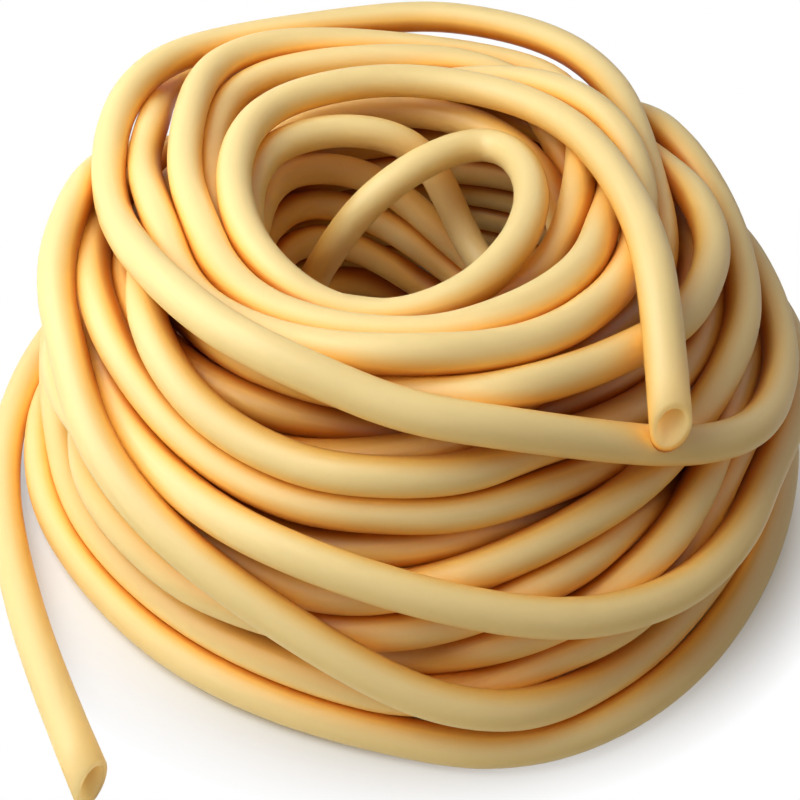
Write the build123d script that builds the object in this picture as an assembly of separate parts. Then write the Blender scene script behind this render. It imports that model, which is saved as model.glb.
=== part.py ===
from build123d import *
import os

# Coil of natural latex tubing, in millimetres: one length wound into a loose heap with a well down
# its middle and both cut ends left free. +Z is up, and the origin is on the floor under the middle
# of the whole, so the heap's axis stands a little behind it.

# Tubing section, with its bore open for the straight stretch at each mouth and tapering shut there
tube_diameter = 10.0
bore_diameter = 7.0
bore_depth = 15.0
bore_taper = 4.0

# Heap of turns: a ring that narrows upwards, with its crown eased down to the side
heap_axis_y = 4.2
base_radius = 132.0
waist_radius = 103.0
waist_height = 62.0
shoulder_radius = 84.0
shoulder_height = 83.0
crown_radius = 64.0
crown_height = 90.0

# Well down the middle of the turns
well_rim_radius = 52.0
well_mouth_radius = 43.0
well_mouth_height = 80.0
well_foot_radius = 33.0

# Seats of the two ends, where each comes out from among the turns
seat_clearance = 0.2

# Route of a loose end: each bend takes this share of the shorter of its two runs
bend_share = 0.45

# Routes run from among the turns to the cut mouth
# Upper end: out of the crown at the right, over the shoulder and down the front, with its points
# measured from the heap's axis at the crown's level
upper_route = [
    (52, 10, -6),
    (56.5, -24, 7.5),
    (61.5, -60.5, 2),
    (61.5, -85, -20),
]

# Lower end: out from the foot of the heap at the left and along the floor to the front, with its
# points measured from the left edge of the heap's foot, a tube's radius above the floor
lower_route = [
    (12, -28, 0.2),
    (16, -66, 0.2),
    (34, -103, 0.2),
    (54.5, -138, 0.2),
]


def placed(route, start):
    return [start + Vector(*point) for point in route]


def tan_degrees(angle):
    unit = Vector(1, 0, 0).rotate(Axis.Z, angle)
    return unit.Y / unit.X


def bend_radii(route):
    radii = []
    for before, corner, after in zip(route, route[1:], route[2:]):
        run_in = corner - before
        run_out = after - corner
        half_turn = run_in.get_angle(run_out) / 2
        radii.append(bend_share * min(run_in.length, run_out.length) / tan_degrees(half_turn))
    return radii


def route_line(route):
    return FilletPolyline(*route, radius=bend_radii(route))


def swept_round(route, diameter):
    line = route_line(route)
    return sweep(Plane(line @ 0, z_dir=line % 0) * Circle(diameter / 2), path=line)


def mouth_bore(route):
    line = route_line(route)
    mouth = Plane(line @ 1, z_dir=line % 1)
    foot = Plane(mouth.origin - mouth.z_dir * bore_depth, z_dir=-mouth.z_dir)
    on_foot = (Align.CENTER, Align.CENTER, Align.MIN)
    tapered_end = foot * Cone(bore_diameter / 2, 0, bore_taper, align=on_foot)
    return extrude(mouth * Circle(bore_diameter / 2), -bore_depth) + tapered_end


def loose_end(route):
    return swept_round(route, tube_diameter) - mouth_bore(route)


def seat(route):
    return swept_round(route, tube_diameter + 2 * seat_clearance)


def heap_of_turns():
    outline = Polyline(
        (well_foot_radius, 0),
        (base_radius, 0),
        (waist_radius, waist_height),
        (shoulder_radius, shoulder_height),
        (crown_radius, crown_height),
        (well_rim_radius, crown_height),
        (well_mouth_radius, well_mouth_height),
        close=True,
    )
    return revolve(make_face(Plane.XZ * outline), Axis.Z)


upper_line = placed(upper_route, Vector(0, 0, crown_height))
lower_line = placed(lower_route, Vector(-base_radius, 0, tube_diameter / 2))
upper_end = loose_end(upper_line)
lower_end = loose_end(lower_line)
coil = heap_of_turns() - seat(upper_line) - seat(lower_line)

for name, route, solid in (("upper_end", upper_line, upper_end), ("lower_end", lower_line, lower_end)):
    length = route_line(route).length
    expected = Circle(tube_diameter / 2).area * length - mouth_bore(route).volume
    radii = ", ".join(f"{radius:.0f}" for radius in bend_radii(route))
    print(f"{name}: {length:.1f} long, volume {solid.volume / expected:.4f} of section by length")
    print(f"{name}: bend radii {radii}")

os.makedirs("parts", exist_ok=True)
for name, solid in (("coil", coil), ("upper_end", upper_end), ("lower_end", lower_end)):
    export_step(Pos(0, heap_axis_y) * solid, f"parts/{name}.step")
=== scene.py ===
import math
import bpy
import bmesh
import numpy as np
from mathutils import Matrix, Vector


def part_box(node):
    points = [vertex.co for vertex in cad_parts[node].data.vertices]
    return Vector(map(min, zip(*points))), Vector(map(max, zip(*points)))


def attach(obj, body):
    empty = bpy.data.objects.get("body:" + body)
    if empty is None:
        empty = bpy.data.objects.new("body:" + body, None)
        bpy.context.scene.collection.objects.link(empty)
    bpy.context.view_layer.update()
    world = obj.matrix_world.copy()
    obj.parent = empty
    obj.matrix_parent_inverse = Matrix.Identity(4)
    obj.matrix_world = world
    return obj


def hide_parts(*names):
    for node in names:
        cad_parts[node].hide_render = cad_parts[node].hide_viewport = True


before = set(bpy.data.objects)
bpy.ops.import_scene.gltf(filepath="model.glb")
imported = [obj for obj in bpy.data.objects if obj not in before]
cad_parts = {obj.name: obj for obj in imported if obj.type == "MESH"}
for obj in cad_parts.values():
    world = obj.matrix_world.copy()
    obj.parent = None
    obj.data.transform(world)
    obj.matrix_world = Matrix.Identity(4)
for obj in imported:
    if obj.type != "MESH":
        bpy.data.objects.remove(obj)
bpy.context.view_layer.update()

coilLow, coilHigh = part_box("coil")
heapAxis = np.array([(coilLow[0] + coilHigh[0]) / 2, (coilLow[1] + coilHigh[1]) / 2, 0.0])
print("frame loaded, heap axis at", heapAxis.round(4))

# The camera looks down on the heap from the front. Traces are read in pixels of its 800 x 800 frame.
camera = {
    "elevation": math.radians(40),
    "distance": 0.375,           # from the foot of the heap's axis
    "focalPixels": 1110,
    "framePixels": 800,
    "axisFootPixel": (415, 430),
    "sensor": 36.0,
}


def cameraPlace():
    e = camera["elevation"]
    return camera["distance"] * np.array([0.0, -math.cos(e), math.sin(e)])   # from the axis's foot


def cameraRay(pixel):
    e = camera["elevation"]
    across = (pixel[0] - camera["axisFootPixel"][0]) / camera["focalPixels"]
    up = (camera["axisFootPixel"][1] - pixel[1]) / camera["focalPixels"]
    ray = np.array([across, math.cos(e) + up * math.sin(e), -math.sin(e) + up * math.cos(e)])
    return ray / np.linalg.norm(ray)


def makeCamera():
    data = bpy.data.cameras.new("camera")
    half = camera["framePixels"] / 2
    data.sensor_width = camera["sensor"]
    data.lens = camera["sensor"] * camera["focalPixels"] / camera["framePixels"]
    data.shift_x = (half - camera["axisFootPixel"][0]) / camera["framePixels"]
    data.shift_y = (camera["axisFootPixel"][1] - half) / camera["framePixels"]
    data.clip_start = 0.01
    obj = bpy.data.objects.new("camera", data)
    bpy.context.collection.objects.link(obj)
    obj.location = heapAxis + cameraPlace()
    obj.rotation_euler = (math.pi / 2 - camera["elevation"], 0, 0)
    bpy.context.scene.camera = obj


makeCamera()
print("camera placed")

# Tubing and heap, in metres from the axis's foot
tubing = {
    "diameter": 0.010,
    "bore": 0.007,
    "boreDepth": 0.028,
    "boreTaper": 0.4,        # share of the bore's depth that narrows to its end
    "boreEnd": 0.2,          # share of the bore that is left there
    "pointSpacing": 0.024,
    "sides": 20,
    "ringsPerPoint": 5,
}
# Each cut is a slant: how steep it is, and the side that it faces
mouths = {
    "lower": {"slope": 0.75, "facing": (0.86, 0.50, 0.20)},
    "upper": {"slope": 1.00, "facing": (0.15, -0.66, 0.74)},
    "fade": 0.020,           # the slant dies out over this much of the tubing
}
# Where the tubing's middle lies on the heap: reach from the axis, height
outerFrom = 6                # the outside starts at this point of the outline
heapOutline = [
    (0.026, 0.006), (0.034, 0.012), (0.040, 0.045), (0.044, 0.078), (0.052, 0.090), (0.064, 0.092), (0.080, 0.087),
    (0.091, 0.077), (0.104, 0.054), (0.115, 0.030), (0.124, 0.005), (0.130, -0.015),
]

# Loose ends: the points of the solid model's routes
lowerStart = np.array([-0.132, 0.0, 0.005])
lowerRoute = [(0.0545, -0.138, 0.0002), (0.034, -0.103, 0.0002), (0.016, -0.066, 0.0002)]
lowerClimb = [(-0.127, -0.036, 0.005), (-0.133, -0.005, 0.0053), (-0.133, 0.024, 0.0095), (-0.122, 0.052, 0.018),
              (-0.102, 0.074, 0.026), (-0.078, 0.090, 0.030)]
climbBack = {"height": 0.026, "lift": 0.0}      # from there it goes round the back to the first turn
upperStart = np.array([0.0, 0.0, 0.090])
upperRoute = [(0.0586, -0.0640, 0.0036), (0.0590, -0.0909, -0.0128)]

# One entry a turn, from the lower end to the upper: where its front shows in the frame, right to left, how far it lies
# out from the heap, and the height at which it goes round the back to the next turn. A third number is a height.
turns = [
    {"name": "footTurn", "lift": 0.0, "backHeight": 0.016, "backLift": 0.0, "trace": [
        (783, 440, 0.005), (773, 500, 0.005), (757, 552, 0.005), (730, 608, 0.005), (690, 660, 0.005), (630, 707, 0.005),
        (560, 739, 0.005), (490, 748, 0.005), (440, 741, 0.005), (400, 730, 0.005), (345, 716, 0.005), (285, 701, 0.005),
        (222, 674, 0.005), (175, 645, 0.005), (135, 613, 0.005), (95, 570, 0.005), (66, 530, 0.005), (49, 490, 0.005),
        (43, 450, 0.006), (45, 400, 0.008)]},
    {"name": "secondTurn", "lift": 0.0, "backHeight": 0.036, "backLift": -0.003, "trace": [
        (735, 460), (715, 505), (680, 570), (640, 612), (600, 635), (560, 655), (520, 672), (480, 690), (400, 702, 0.011),
        (340, 686, 0.010), (260, 660, 0.010), (200, 630, 0.010), (150, 595, 0.010), (110, 555, 0.010), (80, 515, 0.010),
        (66, 475, 0.010), (59, 430, 0.011), (58, 380, 0.018), (56, 320, 0.034)]},
    {"name": "thirdTurn", "lift": (-0.004, 0.0, 0.0, 0.0, -0.012, -0.022), "backHeight": 0.040, "backLift": -0.013,
     "trace": [
        (749, 300, 0.044), (748, 340, 0.050), (738, 388, 0.053), (718, 436), (698, 480), (668, 532), (620, 575),
        (580, 612), (540, 630), (500, 645), (460, 655), (420, 662), (350, 660), (310, 648), (280, 636), (230, 612)]},
    {"name": "fourthTurn", "lift": (-0.010, 0.0, 0.0, -0.004, -0.007), "backHeight": 0.055, "backLift": -0.010, "trace": [
        (680, 470), (662, 495), (640, 520), (610, 545), (580, 563), (540, 583), (480, 612), (440, 622), (400, 629),
        (360, 630), (300, 624), (240, 603), (185, 585), (135, 540), (100, 490), (90, 470)]},
    {"name": "slantRise", "lift": (-0.009, -0.003), "backHeight": None, "backLift": 0.0, "trace": [
        (650, 125, 0.0907), (675, 150, 0.0875), (700, 178, 0.083), (720, 210, 0.0785), (733, 250, 0.0735),
        (735, 290, 0.069), (731, 325, 0.0655), (712, 372), (690, 410)]},
    {"name": "slantTurn", "lift": (-0.003, 0.0), "backHeight": 0.024, "backLift": 0.0, "trace": [
        (665, 455), (630, 490), (570, 529), (510, 557), (450, 578), (385, 592), (350, 594), (310, 590), (245, 565),
        (190, 525), (140, 480), (120, 455)]},
    {"name": "lowSash", "lift": (-0.010, -0.006, 0.0, 0.006, 0.009, 0.009, 0.009, 0.009, 0.009, 0.007, 0.006),
     "backHeight": 0.046, "backLift": 0.004, "trace": [
        (740, 540), (715, 570), (670, 628), (640, 655), (600, 678), (560, 694), (520, 704), (480, 706), (440, 701),
        (400, 688), (340, 657), (280, 618), (220, 574), (170, 527), (128, 473), (100, 430), (83, 390), (73, 335),
        (71, 300), (76, 260), (95, 205)]},
    {"name": "highSash", "lift": (0.002, 0.009, 0.009, 0.0), "backHeight": 0.054, "backLift": -0.006, "trace": [
        (760, 452), (755, 478), (745, 505), (728, 533), (708, 560), (685, 582), (660, 598), (600, 615), (560, 617),
        (520, 615), (480, 609), (440, 601), (400, 590), (340, 572), (285, 549), (235, 527), (185, 495), (147, 455),
        (120, 415), (105, 380), (97, 350), (92, 320)]},
    {"name": "shadeTurn", "lift": (-0.012, -0.005, -0.008), "backHeight": 0.060, "backLift": -0.013, "trace": [
        (620, 482), (560, 506), (520, 520), (480, 533), (440, 545), (400, 550), (340, 548), (300, 545), (240, 525),
        (180, 480), (140, 430)]},
    {"name": "waistTurn", "lift": (-0.010, 0.0, 0.0, 0.0), "backHeight": 0.066, "backLift": -0.004, "trace": [
        (640, 440), (600, 457), (550, 480), (520, 492), (480, 503), (440, 509), (400, 509), (330, 505), (290, 498),
        (230, 474), (180, 440), (143, 395), (117, 345), (108, 300), (100, 260), (100, 220)]},
    {"name": "girdleTurn", "lift": (-0.010, 0.001, 0.001), "backHeight": 0.072, "backLift": -0.010, "trace": [
        (600, 430), (540, 447), (510, 458), (480, 467), (440, 475), (400, 477), (360, 477), (330, 472), (300, 466),
        (245, 442), (203, 411), (170, 367), (148, 322), (143, 280)]},
    {"name": "deepTurn", "lift": (-0.014, -0.008), "backHeight": 0.078, "backLift": -0.004, "trace": [
        (560, 395), (480, 425), (410, 436), (370, 437), (330, 430), (290, 418), (250, 403), (190, 372), (160, 330)]},
    {"name": "tightTurn", "lift": (0.0, 0.0, 0.0, 0.0, -0.003, -0.010), "backHeight": 0.056, "backLift": 0.000, "trace": [
        (655, 165), (672, 178), (692, 198), (706, 220), (712, 245), (710, 265), (702, 287), (690, 308), (676, 322),
        (660, 335), (600, 364), (560, 376), (520, 383), (480, 386), (440, 387), (400, 387), (360, 386), (320, 382),
        (280, 373), (245, 362), (212, 344), (188, 320)]},
    {"name": "greatLoop", "lift": (0.0, 0.008, 0.009, 0.009), "backHeight": None, "backLift": 0.0, "trace": [
        (737, 243, 0.066), (752, 268, 0.062), (765, 298, 0.058), (774, 335, 0.055), (777, 372, 0.0545),
        (770, 399, 0.055), (757, 420, 0.056), (735, 436, 0.058), (700, 445),
        (660, 446), (620, 442), (580, 438), (540, 433), (500, 427), (460, 421), (420, 414), (380, 402), (345, 387),
        (310, 371), (275, 354), (240, 336), (205, 315), (175, 290), (150, 264), (130, 235, 0.082), (118, 205, 0.086),
        (114, 175, 0.090), (122, 130, 0.094), (147, 92, 0.098), (183, 62, 0.101), (232, 44, 0.102), (330, 28, 0.102),
        (400, 19, 0.103), (440, 16, 0.1035), (520, 30, 0.102), (560, 45, 0.101), (595, 70, 0.0995), (620, 98, 0.0975),
        (634, 130, 0.095), (648, 185, 0.088), (656, 215, 0.085), (661, 255, 0.080), (656, 300, 0.074), (638, 338, 0.068),
        (600, 368, 0.066)]},
    {"name": "hiddenTurn", "lift": -0.010, "backHeight": 0.082, "backLift": -0.010, "trace": [
        (540, 400), (490, 430), (450, 446), (400, 450), (340, 448), (280, 440), (230, 415), (180, 360)]},
    {"name": "core", "lift": 0.0, "backHeight": None, "backLift": 0.0, "trace": []},
    {"name": "crownTurn", "lift": 0.0, "backHeight": 0.088, "backLift": -0.004, "trace": [
        (626, 235, 0.084), (628, 252), (622, 270), (612, 290), (590, 308), (568, 327), (526, 346), (483, 357), (440, 360),
        (400, 359), (338, 356), (296, 347), (263, 334), (231, 318), (200, 296), (178, 268), (167, 240), (153, 210),
        (144, 185), (140, 160), (142, 132), (150, 108), (162, 90, 0.090), (180, 78, 0.089)]},
    {"name": "collarTurn", "lift": 0.0, "backHeight": None, "backLift": 0.0, "trace": [
        (615, 150, 0.090), (613, 200, 0.087), (608, 222, 0.086), (601, 245), (588, 266), (550, 296), (508, 315),
        (441, 338), (400, 337), (327, 332), (274, 316), (240, 294), (213, 265), (200, 245), (191, 222, 0.092),
        (187, 195, 0.093), (187, 170, 0.094), (190, 140, 0.096), (195, 110, 0.097), (207, 80, 0.099), (225, 60, 0.100),
        (270, 42, 0.100), (330, 43, 0.100), (400, 50, 0.098), (500, 66, 0.095), (545, 90, 0.092), (575, 125, 0.088)]},
    {"name": "innerCollar", "lift": -0.006, "backHeight": None, "backLift": 0.0, "trace": [
        (572, 215, 0.083), (560, 250, 0.081), (530, 280, 0.080), (480, 305, 0.079), (400, 322, 0.079), (330, 312, 0.080),
        (262, 290, 0.082), (240, 268, 0.083), (224, 240, 0.085), (215, 210, 0.087), (211, 178, 0.088), (211, 150, 0.089),
        (217, 120, 0.091), (232, 95, 0.093), (262, 76, 0.095), (310, 66, 0.096), (360, 60, 0.096), (400, 60, 0.096),
        (450, 62, 0.095), (500, 76, 0.094), (540, 95, 0.092), (566, 125, 0.089)]},
]

# The well's wall is wound downwards, each turn from the left over the back to the right, and round the front unseen
wellTurns = [
    {"frontReach": 0.057, "frontHeight": 0.074, "trace": [
        (300, 121, 0.086), (350, 113, 0.085), (390, 110, 0.085), (425, 111, 0.085), (470, 122, 0.085), (510, 140, 0.084),
        (540, 165, 0.082), (562, 200, 0.080), (572, 235, 0.079)]},
    {"frontReach": 0.056, "frontHeight": 0.064, "trace": [
        (250, 180, 0.087), (262, 160, 0.089), (290, 143, 0.090), (320, 134, 0.090), (345, 131, 0.090), (385, 135, 0.088),
        (415, 146, 0.084), (432, 170, 0.077), (441, 190, 0.070), (460, 220, 0.061), (474, 250, 0.053), (480, 272, 0.047)]},
    {"frontReach": 0.050, "frontHeight": 0.046, "trace": [
        (252, 196, 0.073), (275, 181, 0.074), (300, 172, 0.074), (350, 169, 0.072), (380, 181, 0.068), (402, 203, 0.061),
        (429, 220, 0.055), (452, 243, 0.049), (464, 260, 0.045)]},
    {"frontReach": 0.048, "frontHeight": 0.036, "trace": [
        (258, 226, 0.062), (280, 209, 0.062), (310, 201, 0.061), (350, 209, 0.057), (383, 223, 0.053), (418, 245, 0.046),
        (448, 269, 0.039), (465, 284, 0.035)]},
    {"frontReach": 0.046, "frontHeight": 0.026, "trace": [
        (280, 248, 0.051), (315, 237, 0.050), (350, 248, 0.044), (390, 266, 0.037), (418, 284, 0.031), (435, 299, 0.026)]},
    {"frontReach": 0.044, "frontHeight": 0.015, "trace": [
        (302, 284, 0.034), (350, 280, 0.029), (390, 292, 0.022), (420, 308, 0.016)]},
    {"frontReach": 0.042, "frontHeight": 0.008, "trace": [
        (310, 312, 0.018), (350, 308, 0.014), (390, 316, 0.009)]},
]
coreTurns = {         # unseen, between the outside and the well
    "turns": 6.0,
    "reach": (0.074, 0.086),
    "height": (0.075, 0.012),
    "pointsPerTurn": 20,
    "skipped": 4,     # points left out where the core takes over from the turn before
    "backHeight": 0.082,
    "backLift": -0.010,
}
# How firmly each kind of point keeps to its place when the turns settle
firmness = {"traced": 1.0, "climb": 0.7, "well": 0.6, "link": 0.15, "core": 0.1}
topStart = {"frontReach": 0.042, "frontHeight": 0.008}
topTrace = [
    (313, 286, 0.044), (318, 275, 0.050), (328, 257, 0.058), (340, 238, 0.066), (365, 204, 0.078), (400, 178, 0.084),
    (430, 160, 0.087), (459, 148, 0.088), (489, 145, 0.088), (511, 153, 0.089), (527, 174, 0.090), (532, 199, 0.091),
    (524, 229, 0.091), (505, 258, 0.091), (478, 284, 0.090), (440, 305, 0.088), (400, 318, 0.087), (350, 320, 0.087),
    (311, 304, 0.088), (280, 283, 0.090), (255, 255, 0.092), (241, 226, 0.094), (234, 190, 0.096), (236, 162, 0.097),
    (247, 132, 0.098), (270, 110, 0.099), (300, 95, 0.100), (360, 82, 0.100), (400, 81, 0.100), (445, 84, 0.099),
    (490, 91, 0.098), (532, 104, 0.097), (577, 133, 0.096), (603, 160, 0.095), (629, 200, 0.094), (642, 240, 0.093),
]


def liftedOutline(lift):
    outline = np.array(heapOutline)
    along = np.gradient(outline, axis=0)
    out = np.stack([-along[:, 1], along[:, 0]], axis=1)
    return outline + lift * out / np.linalg.norm(out, axis=1)[:, None]


casting = {"start": 0.15, "end": 0.65, "step": 0.0005, "rimMarks": 200}      # along a ray from the camera


def castPoint(spot, lift):
    ray, eye = cameraRay(spot), cameraPlace()
    if len(spot) == 3:
        return eye + ray * (spot[2] - eye[2]) / ray[2]
    outline = liftedOutline(lift)
    steps = np.arange(casting["start"], casting["end"], casting["step"])
    path = eye + steps[:, None] * ray
    path = path[path[:, 2] > tubing["diameter"] / 2]
    reach = np.hypot(path[:, 0], path[:, 1])
    inside = path[:, 2] < np.interp(reach, outline[:, 0], outline[:, 1], left=0.0, right=-0.1)
    if inside.any():
        return path[np.argmax(inside)]
    marks = np.linspace(0, len(outline) - 1, casting["rimMarks"])      # the ray passes the heap by: its nearest place
    rim = np.stack([np.interp(marks, range(len(outline)), outline[:, k]) for k in (0, 1)], axis=1)
    gaps = np.hypot(reach[:, None] - rim[:, 0], path[:, 2, None] - rim[:, 1])
    return path[np.argmin(gaps.min(axis=1))]


def polar(place):
    return math.atan2(place[1], place[0]), math.hypot(place[0], place[1]), place[2]


def roundTheBack(left, right, backHeight, lift):
    bearingA, reachA, heightA = polar(left)
    bearingB, reachB, heightB = polar(right)
    bearingA = bearingA % (2 * math.pi)
    if bearingB > bearingA:
        bearingB -= 2 * math.pi
    outline = liftedOutline(lift)[outerFrom:]
    backReach = np.interp(-backHeight, -outline[:, 1], outline[:, 0])
    count = max(3, round((bearingA - bearingB) * backReach / tubing["pointSpacing"]))
    places = []
    for i in range(1, count):
        s = i / count
        bearing = bearingA + s * (bearingB - bearingA)
        ends = (1 - s) ** 2, 2 * s * (1 - s), s ** 2
        height = np.dot(ends, (heightA, 2 * backHeight - (heightA + heightB) / 2, heightB))
        reach = np.dot(ends, (reachA, 2 * backReach - (reachA + reachB) / 2, reachB))
        places.append([reach * math.cos(bearing), reach * math.sin(bearing), height])
    return places


def coreHelix(start):
    bearing = polar(start)[0] % (2 * math.pi)
    count = int(coreTurns["turns"] * coreTurns["pointsPerTurn"])
    places = []
    for i in range(coreTurns["skipped"], count):
        turned = bearing - 2 * math.pi * i / coreTurns["pointsPerTurn"]
        reach = np.interp(i, (0, count), coreTurns["reach"])
        height = np.interp(i, (0, count), coreTurns["height"])
        places.append([reach * math.cos(turned), reach * math.sin(turned), height])
    return places


def roundTheFront(right, left, reach, height):
    bearingA, reachA, heightA = polar(right)
    bearingB, reachB, heightB = polar(left)
    bearingB -= 2 * math.pi if bearingB > bearingA else 0
    count = max(3, round((bearingA - bearingB) * reach / tubing["pointSpacing"]))
    places = []
    for i in range(1, count):
        s = i / count
        bearing = bearingA + s * (bearingB - bearingA)
        ends = (1 - s) ** 2, 2 * s * (1 - s), s ** 2
        out = np.dot(ends, (reachA, 2 * reach - (reachA + reachB) / 2, reachB))
        rise = np.dot(ends, (heightA, 2 * height - (heightA + heightB) / 2, heightB))
        places.append([out * math.cos(bearing), out * math.sin(bearing), max(rise, tubing["diameter"] / 2)])
    return places


def wholeRoute():
    route, hold = [], []      # hold says how firmly each point keeps to its place

    def add(places, kind):
        route.extend(np.array(p, dtype=float) for p in places)
        hold.extend([firmness[kind]] * len(places))

    add([lowerStart + np.array(p) for p in lowerRoute], "traced")
    add(lowerClimb, "climb")
    backHeight, backLift = climbBack["height"], climbBack["lift"]
    for turn in turns:
        if turn["name"] == "core":
            add(coreHelix(route[-1]), "core")
            backHeight, backLift = coreTurns["backHeight"], coreTurns["backLift"]
            continue
        marks = np.atleast_1d(turn["lift"])
        lifts = np.interp(np.linspace(0, 1, len(turn["trace"])), np.linspace(0, 1, len(marks)), marks)
        front = [castPoint(spot, out) for spot, out in zip(turn["trace"], lifts)]
        if backHeight is not None:
            add(roundTheBack(route[-1], front[0], backHeight, backLift), "link")
        add(front, "traced")
        backHeight, backLift = turn["backHeight"], turn["backLift"]
    for turn in wellTurns:
        wall = [castPoint(spot, 0.0) for spot in turn["trace"]]
        add(roundTheFront(route[-1], wall[0], turn["frontReach"], turn["frontHeight"]), "link")
        add(wall, "well")
    top = [castPoint(spot, 0.0) for spot in topTrace]
    add(roundTheFront(route[-1], top[0], topStart["frontReach"], topStart["frontHeight"]), "link")
    add(top, "traced")
    add([upperStart + np.array(p) for p in upperRoute], "traced")
    return np.array(route), np.array(hold)


places, hold = wholeRoute()
print("route of", len(places), "points worked out")

# The turns are let settle against each other, so that none lies in another
settling = {
    "rounds": 160,
    "startRounds": 4,        # these bring the line through its points first
    "searchEvery": 8,        # rounds between searches for turns that meet
    "searchReach": 1.6,      # in diameters
    "apart": 1.01,           # in diameters
    "samplesPerPoint": 5,
    "ownLength": 0.034,      # nearer than this along the tubing, it doesn't meet itself
    "acrossView": 0.07,      # how firmly a traced point keeps its place in the frame
    "alongView": 0.02,
    "easing": 2.5,           # the hold eases over the last 1 / easing of the rounds
    "evening": 0.03,
    "eveningHold": 1.5,      # firmer points are evened less
    "gain": 1.6,
}


def curveWeights(count, shares):      # of the control points along a NURBS line of order 3
    weights = np.zeros(((count - 2) * len(shares), count))
    for i in range(1, count - 1):
        for k, t in enumerate(shares):
            row = (i - 1) * len(shares) + k
            weights[row, i - 1:i + 2] = 0.5 * (1 - t) ** 2, 0.5 + t - t * t, 0.5 * t * t
    return weights


def meetings(line, reach):
    along = np.concatenate([[0], np.cumsum(np.linalg.norm(np.diff(line, axis=0), axis=1))])
    square = (line ** 2).sum(axis=1)
    near = square[:, None] + square - 2 * line @ line.T < reach ** 2
    near &= along - along[:, None] > settling["ownLength"]
    return np.nonzero(near)


def settle(places, hold):
    per, width = settling["samplesPerPoint"], tubing["diameter"]
    weights = curveWeights(len(places), np.arange(per) / per)
    middles = curveWeights(len(places), [0.5])
    share = weights.sum(axis=0)[:, None] + 0.5
    rays = places - cameraPlace()
    rays /= np.linalg.norm(rays, axis=1)[:, None]
    points = places.copy()
    for _ in range(settling["startRounds"]):
        points[1:-1] += places[1:-1] - middles @ points
    loose = np.ones(len(places))
    loose[:len(lowerRoute)] = loose[-len(upperRoute):] = 0      # the loose ends stay where they are
    for turn in range(settling["rounds"]):
        line = weights @ points
        if turn % settling["searchEvery"] == 0:
            first, second = meetings(line, width * settling["searchReach"])
        apart = line[first] - line[second]
        gap = np.linalg.norm(apart, axis=1)
        push = 0.5 * np.clip(width * settling["apart"] - gap, 0, None) / np.maximum(gap, 1e-6)
        shove = apart * push[:, None]
        moves = np.zeros_like(line)
        for k in range(3):
            moves[:, k] = np.bincount(first, shove[:, k], len(line)) - np.bincount(second, shove[:, k], len(line))
        count = np.bincount(first, push > 0, len(line)) + np.bincount(second, push > 0, len(line))
        moves /= np.maximum(np.sqrt(count), 1)[:, None]
        moves[:, 2] += np.clip(width / 2 - line[:, 2], 0, None)
        change = settling["gain"] * (weights.T @ moves) / share
        change[1:-1] = (change[:-2] + 2 * change[1:-1] + change[2:]) / 4
        ease = min(1, settling["easing"] * (1 - turn / settling["rounds"]))
        pull = np.zeros_like(points)
        pull[1:-1] = places[1:-1] - middles @ points
        deep = (pull * rays).sum(axis=1)[:, None] * rays
        change += ease * hold[:, None] * (settling["acrossView"] * (pull - deep) + settling["alongView"] * deep)
        bend = np.zeros_like(points)
        bend[1:-1] = (points[:-2] + points[2:]) / 2 - points[1:-1]
        kink = np.zeros_like(points)
        kink[1:-1] = bend[1:-1] - (bend[:-2] + bend[2:]) / 2
        change += settling["evening"] * kink * (settling["eveningHold"] - hold)[:, None]
        points = np.round(points + loose[:, None] * change, 7)
    line = weights @ points
    first, second = meetings(line, width)
    worst = np.linalg.norm(line[first] - line[second], axis=1).min() if len(first) else width
    print("turns settled, nearest pair", round(float(worst) * 1000, 2), "mm,", len(first), "close pairs")
    return points


points = settle(places, hold) + heapAxis


def tubingLine(bevel):
    data = bpy.data.curves.new("tubingLine", "CURVE")
    data.dimensions = "3D"
    data.resolution_u = tubing["ringsPerPoint"]
    spline = data.splines.new("NURBS")
    spline.points.add(len(points) - 1)
    spline.points.foreach_set("co", np.column_stack([points, np.ones(len(points))]).ravel())
    spline.order_u = 3
    spline.use_endpoint_u = True
    data.bevel_depth = bevel
    data.bevel_resolution = (tubing["sides"] - 4) // 2
    obj = bpy.data.objects.new("tubingLine", data)
    bpy.context.collection.objects.link(obj)
    mesh = bpy.data.meshes.new_from_object(obj)
    bpy.data.objects.remove(obj)
    bpy.data.curves.remove(data)
    return mesh


pathMesh = tubingLine(0)
path = np.array([v.co for v in pathMesh.vertices])
tubeMesh = tubingLine(tubing["diameter"] / 2)


def slantCut(mesh, line, cut):
    places = np.array([v.co for v in mesh.vertices])
    axis = (line[0] - line[1]) / np.linalg.norm(line[0] - line[1])
    facing = np.array(cut["facing"]) - np.dot(cut["facing"], axis) * axis
    facing /= np.linalg.norm(facing)
    rings = places.reshape(len(line), -1, 3)
    rings = rings if np.linalg.norm(rings[0, 0] - line[0]) < tubing["diameter"] else rings[::-1]
    for ring, middle in zip(rings, line):
        fade = 1 - np.linalg.norm(middle - line[0]) / mouths["fade"]
        if fade <= 0:
            break
        ring -= (cut["slope"] * fade * ((ring - middle) @ facing))[:, None] * axis
    mesh.vertices.foreach_set("co", places.ravel())


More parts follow.
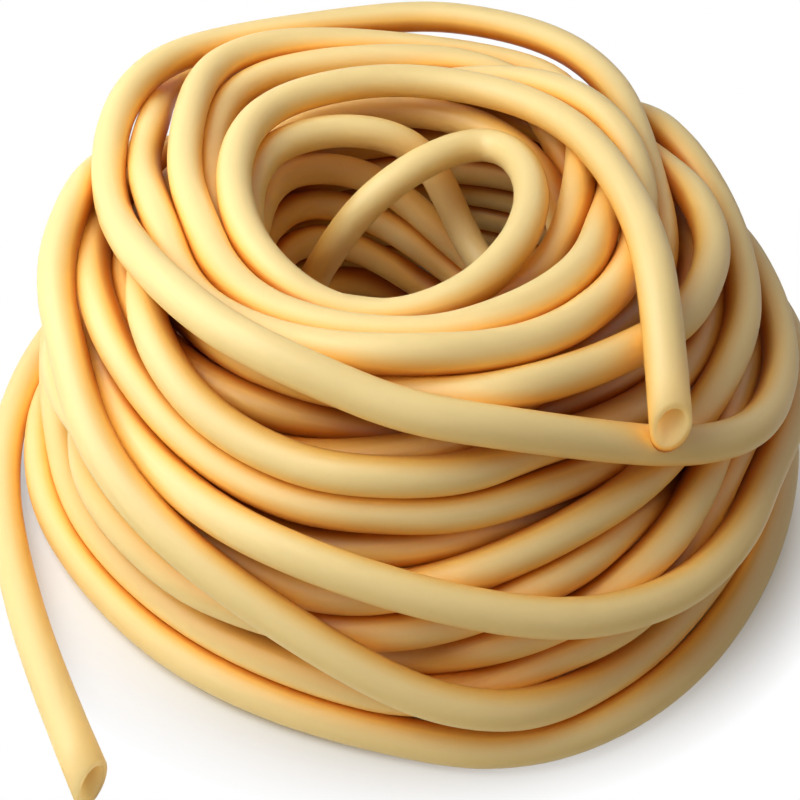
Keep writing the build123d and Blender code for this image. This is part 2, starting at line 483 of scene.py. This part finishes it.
def openMouth(shape, rings, line):
    rim = [e for e in shape.edges if e.is_boundary
           and np.linalg.norm(np.array(e.verts[0].co) - line[0]) < tubing["diameter"]]
    depths = np.concatenate([[0], np.cumsum(np.linalg.norm(np.diff(line, axis=0), axis=1))]) / tubing["boreDepth"]
    before, mark = rings[0], shape.verts.layers.float["paintedLightLevel"]
    for ring, middle, depth in zip(rings, line, depths[depths < 1]):     # the wall's cut face, then the bore inwards
        narrowing = min(1, (1 - depth) / tubing["boreTaper"] + tubing["boreEnd"])
        share = tubing["bore"] / tubing["diameter"] * narrowing
        after = middle + share * (ring - middle)
        made = bmesh.ops.extrude_edge_only(shape, edges=rim)["geom"]
        rim = [g for g in made if isinstance(g, bmesh.types.BMEdge)]
        for v in (g for g in made if isinstance(g, bmesh.types.BMVert)):
            v.co = after[np.argmin(np.linalg.norm(before - np.array(v.co), axis=1))]
            # painted shade: the bore's inside is marked darker the deeper it goes
            v[mark] = 1 - depth
        before = after
    bmesh.ops.edgeloop_fill(shape, edges=rim)


def openMouths(mesh):
    rings = np.array([v.co for v in mesh.vertices]).reshape(len(path), -1, 3)
    rings = rings if np.linalg.norm(rings[0, 0] - path[0]) < tubing["diameter"] else rings[::-1]
    shape = bmesh.new()
    shape.from_mesh(mesh)
    openMouth(shape, rings, path)
    openMouth(shape, rings[::-1], path[::-1])
    bmesh.ops.recalc_face_normals(shape, faces=shape.faces)
    shape.to_mesh(mesh)
    shape.free()


# Painted shade: how open to the light each place on the tubing lies, from what the other turns in front of it leave
# free; the colour is darkened by it in crevices, on undersides near the floor and down the well
paintedCreviceShade = {
    "reach": 0.040,
    "ownLength": 0.025,      # nearer than this along the tubing, it doesn't shade itself
    # painted shade on the undersides near the floor
    "floorShadeShare": 0.2,
    "well": {"reach": 0.055, "heights": (0.012, 0.048), "shares": (0.12, 1.0)},      # painted shade, darker towards its foot
    "depth": 1.15,
}


def markPaintedShade(mesh):
    rings = np.array([v.co for v in mesh.vertices]).reshape(len(path), -1, 3)
    forward = np.linalg.norm(rings[0, 0] - path[0]) < tubing["diameter"]
    runs = np.linalg.norm(np.diff(path, axis=0), axis=1)
    along = np.concatenate([[0], np.cumsum(runs)])
    share = np.gradient(along) / tubing["diameter"]
    radius = tubing["diameter"] / 2
    paintedLightLevel = np.ones(rings.shape[:2])
    for k, (ring, middle) in enumerate(zip(rings, path if forward else path[::-1])):
        place = k if forward else len(path) - 1 - k
        near = np.linalg.norm(path - middle, axis=1) < paintedCreviceShade["reach"]
        near &= np.abs(along - along[place]) > paintedCreviceShade["ownLength"]
        away = path[near][None] - ring[:, None]
        gap = np.maximum(np.linalg.norm(away, axis=2), radius)
        facing = np.einsum("ijk,ik->ij", away, ring - middle) / (gap * radius)
        shaded = (share[near] * (radius / gap) ** 2 * np.clip(facing, 0, 1)).sum(axis=1)
        floor = np.clip(-(ring - middle)[:, 2] / radius, 0, 1) * np.exp(-ring[:, 2] / paintedCreviceShade["reach"])
        # painted shade: less open places get a lower level, which the colour turns darker
        paintedLightLevel[k] = np.exp(-paintedCreviceShade["depth"] * (shaded + paintedCreviceShade["floorShadeShare"] * floor))
        if math.hypot(*(middle - heapAxis)[:2]) < paintedCreviceShade["well"]["reach"]:
            paintedLightLevel[k] *= np.interp(middle[2], paintedCreviceShade["well"]["heights"], paintedCreviceShade["well"]["shares"])
    mark = mesh.attributes.new("paintedLightLevel", "FLOAT", "POINT")
    mark.data.foreach_set("value", paintedLightLevel.ravel())
    print("openness from", round(float(paintedLightLevel.min()), 3), "to", round(float(paintedLightLevel.max()), 3),
          "mean", round(float(paintedLightLevel.mean()), 3))


markPaintedShade(tubeMesh)
slantCut(tubeMesh, path, mouths["lower"])
slantCut(tubeMesh, path[::-1], mouths["upper"])
openMouths(tubeMesh)
for polygon in tubeMesh.polygons:
    polygon.use_smooth = True
piece = bpy.data.objects.new("tubing", tubeMesh)
bpy.context.collection.objects.link(piece)
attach(piece, "root")
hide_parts("coil", "upper_end", "lower_end")


class Wire:
    def __init__(self, tree, socket=None):
        self.tree, self.socket = tree, socket

    def node(self, kind, settings, sockets, output=0):
        made = self.tree.nodes.new(kind)
        for name, value in settings.items():
            if name == "stops":
                for k, (place, colour) in enumerate(value):
                    stop = made.color_ramp.elements[k] if k < 2 else made.color_ramp.elements.new(place)
                    stop.position, stop.color = place, colour
            else:
                setattr(made, name, value)
        for name, value in sockets.items():
            if isinstance(value, Wire):
                self.tree.links.new(value.socket, made.inputs[name])
            else:
                made.inputs[name].default_value = value
        return Wire(self.tree, made.outputs[output]) if made.outputs else None

    def maths(self, operation, first, second):
        return self.node("ShaderNodeMath", {"operation": operation}, {0: first, 1: second})

    def __add__(self, other):
        return self.maths("ADD", self, other)

    __radd__ = __add__

    def __sub__(self, other):
        return self.maths("SUBTRACT", self, other)

    def __rsub__(self, other):
        return self.maths("SUBTRACT", other, self)

    def __mul__(self, other):
        return self.maths("MULTIPLY", self, other)

    __rmul__ = __mul__


def newMaterial(name):
    material = bpy.data.materials.new(name)
    material.use_nodes = True
    material.node_tree.nodes.clear()
    return material, Wire(material.node_tree)


# Pale latex where it lies open, with painted shade: amber to deep brown where the other turns shade it, by the painted
# light level
latexLook = {
    "tonesWithPaintedShade": [(0.08, (0.16, 0.02, 0.001, 1)), (0.92, (0.91, 0.69, 0.29, 1)), (0.24, (0.56, 0.165, 0.008, 1)),
              (0.46, (0.93, 0.535, 0.105, 1))],
    "patchScale": 30,
    "patchDetail": 3.0,
    "patchShare": 0.10,
    "roughness": (0.44, 0.56),
    "shine": 0.5,
    "glow": 1.0,
    "glowReach": (1.0, 0.9, 0.75),
    "glowScale": 0.008,
    "grain": 0.00003,
    "grainScale": 900,
    "grainDetail": 2.0,
    "grainStrength": 0.6,
}


def makeLatex():
    look = latexLook
    material, draw = newMaterial("latex")
    spot = draw.node("ShaderNodeTexCoord", {}, {}, "Object")
    patches = draw.node("ShaderNodeTexNoise", {}, {
        "Vector": spot, "Scale": look["patchScale"], "Detail": look["patchDetail"]})
    grain = draw.node("ShaderNodeTexNoise", {}, {
        "Vector": spot, "Scale": look["grainScale"], "Detail": look["grainDetail"]})
    # painted shade: the base colour follows the stored level, darker in crevices and hollows
    paintedLightLevel = draw.node("ShaderNodeAttribute", {"attribute_name": "paintedLightLevel"}, {}, "Fac")
    shade = paintedLightLevel + (patches - 0.5) * look["patchShare"]
    colour = draw.node("ShaderNodeValToRGB", {"stops": look["tonesWithPaintedShade"]}, {"Fac": shade})
    low, high = look["roughness"]
    bump = draw.node("ShaderNodeBump", {}, {
        "Height": grain, "Distance": look["grain"], "Strength": look["grainStrength"]})
    surface = draw.node("ShaderNodeBsdfPrincipled", {"subsurface_method": "BURLEY"}, {
        "Base Color": colour,
        "Roughness": low + patches * (high - low),
        "Specular IOR Level": look["shine"],
        "Subsurface Weight": look["glow"],
        "Subsurface Radius": look["glowReach"],
        "Subsurface Scale": look["glowScale"],
        "Normal": bump,
    })
    draw.node("ShaderNodeOutputMaterial", {}, {"Surface": surface})
    return material


tubeMesh.materials.clear()
tubeMesh.materials.append(makeLatex())
print("latex applied")

studio = {
    "floorSize": 3.0,
    "floorColour": (0.86, 0.86, 0.86, 1),
    "floorWhite": {"From Min": 0.118, "From Max": 0.140, "To Min": 0.0, "To Max": 1.0},   # away from the heap
    "skyStrength": 0.22,
    "skyColour": (1.0, 0.86, 0.66, 1),      # the paper's and the tubing's own light between the turns
    "lamps": {
        "key": {"place": (-0.22, -0.06, 0.39), "size": 0.40, "power": 1.60, "colour": (0.95, 0.985, 1.0)},
        "side": {"place": (-0.50, -0.20, 0.25), "size": 0.40, "power": 0.65, "colour": (0.95, 0.985, 1.0)},
    },
}


def seenDirectly(draw):
    rays = [draw.node("ShaderNodeLightPath", {}, {}, name)
            for name in ("Is Camera Ray", "Is Glossy Ray", "Is Transmission Ray")]
    return draw.maths("MAXIMUM", draw.maths("MAXIMUM", rays[0], rays[1]), rays[2])


def makeFloor():
    shape = bmesh.new()
    bmesh.ops.create_grid(shape, x_segments=1, y_segments=1, size=studio["floorSize"])
    mesh = bpy.data.meshes.new("floor")
    shape.to_mesh(mesh)
    shape.free()
    material, draw = newMaterial("paper")
    paper = draw.node("ShaderNodeBsdfDiffuse", {}, {"Color": studio["floorColour"]})
    spot = draw.node("ShaderNodeTexCoord", {}, {}, "Object")
    away = draw.node("ShaderNodeVectorMath", {"operation": "LENGTH"}, {0: spot}, "Value")
    share = draw.node("ShaderNodeMapRange", {}, {"Value": away, **studio["floorWhite"]})
    white = draw.node("ShaderNodeEmission", {}, {"Color": (1, 1, 1, 1)})
    mixed = draw.node("ShaderNodeMixShader", {}, {0: seenDirectly(draw) * share, 1: paper, 2: white})
    draw.node("ShaderNodeOutputMaterial", {}, {"Surface": mixed})
    mesh.materials.append(material)
    obj = bpy.data.objects.new("floor", mesh)
    bpy.context.collection.objects.link(obj)


def makeLamp(name, place, size, power, colour):
    data = bpy.data.lights.new(name, "AREA")
    data.shape, data.size, data.energy, data.color = "DISK", size, power, colour
    obj = bpy.data.objects.new(name, data)
    bpy.context.collection.objects.link(obj)
    obj.location = place
    obj.visible_camera = False
    aim = -np.array(place)
    obj.rotation_euler = (math.acos(-aim[2] / np.linalg.norm(aim)), 0, math.atan2(aim[1], aim[0]) - math.pi / 2)


def makeSky():
    world = bpy.data.worlds.new("studio")
    bpy.context.scene.world = world
    world.use_nodes = True
    world.node_tree.nodes.clear()
    draw = Wire(world.node_tree)
    light = draw.node("ShaderNodeBackground", {}, {"Color": studio["skyColour"], "Strength": studio["skyStrength"]})
    white = draw.node("ShaderNodeBackground", {}, {"Color": (1, 1, 1, 1), "Strength": 1.0})
    sky = draw.node("ShaderNodeMixShader", {}, {0: seenDirectly(draw), 1: light, 2: white})
    draw.node("ShaderNodeOutputWorld", {}, {"Surface": sky})


makeFloor()
for name, lamp in studio["lamps"].items():
    makeLamp(name, **lamp)
makeSky()
bpy.context.scene.view_settings.view_transform = "Standard"
print("floor, lamps and sky made")
